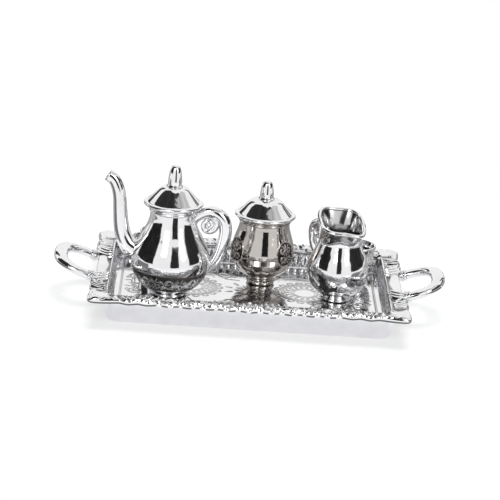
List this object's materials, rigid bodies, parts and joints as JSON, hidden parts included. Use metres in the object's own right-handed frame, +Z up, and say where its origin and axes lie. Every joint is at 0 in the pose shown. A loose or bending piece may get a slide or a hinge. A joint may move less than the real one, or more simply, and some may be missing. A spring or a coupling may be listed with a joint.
{
  "type": "miniature tea set",
  "caption": "Dolls house tea service in polished silver plate: handled tray with a scroll border, lidded teapot and sugar bowl, cream jug and cups that lift off.",
  "frame": {"origin": "centre of the tray's underside", "axes": "+X along the tray from handle to handle, with the teapot at -X; +Y towards the back long side; +Z up"},
  "size_m": [0.085, 0.046, 0.0311],
  "materials": {
    "tray_plate": "polished silver plate",
    "vessel_plate": "polished silver plate"
  },
  "bodies": {
    "tray": {"tray_pan": "tray_plate", "tray_border": "tray_plate", "tray_handle_left": "tray_plate", "tray_handle_right": "tray_plate"},
    "teapot": {"teapot_body": "vessel_plate", "teapot_foot": "vessel_plate", "teapot_mouth_ring": "vessel_plate", "teapot_spout": "vessel_plate", "teapot_handle": "vessel_plate"},
    "teapot_cover": {"teapot_lid": "vessel_plate", "teapot_finial": "vessel_plate"},
    "sugar_bowl": {"sugar_body": "vessel_plate", "sugar_foot": "vessel_plate", "sugar_mouth_ring": "vessel_plate"},
    "sugar_cover": {"sugar_lid": "vessel_plate", "sugar_finial": "vessel_plate"},
    "creamer": {"creamer_body": "vessel_plate", "creamer_foot": "vessel_plate", "creamer_handle": "vessel_plate"},
    "cup_left": {"cup_left_body": "vessel_plate", "cup_left_foot": "vessel_plate", "cup_left_handle": "vessel_plate"},
    "cup_right": {"cup_right_body": "vessel_plate", "cup_right_foot": "vessel_plate", "cup_right_handle": "vessel_plate"}
  },
  "joints": [
    {"name": "teapot_lift", "type": "slide", "parent": "tray", "child": "teapot", "axis": [0, 0, 1], "range_m": [0, 0.03]},
    {"name": "teapot_cover_lift", "type": "slide", "parent": "teapot", "child": "teapot_cover", "axis": [0, 0, 1], "range_m": [0, 0.012]},
    {"name": "sugar_bowl_lift", "type": "slide", "parent": "tray", "child": "sugar_bowl", "axis": [0, 0, 1], "range_m": [0, 0.03]},
    {"name": "sugar_cover_lift", "type": "slide", "parent": "sugar_bowl", "child": "sugar_cover", "axis": [0, 0, 1], "range_m": [0, 0.012]},
    {"name": "creamer_lift", "type": "slide", "parent": "tray", "child": "creamer", "axis": [0, 0, 1], "range_m": [0, 0.03]},
    {"name": "cup_left_lift", "type": "slide", "parent": "tray", "child": "cup_left", "axis": [0, 0, 1], "range_m": [0, 0.03]},
    {"name": "cup_right_lift", "type": "slide", "parent": "tray", "child": "cup_right", "axis": [0, 0, 1], "range_m": [0, 0.03]}
  ]
}
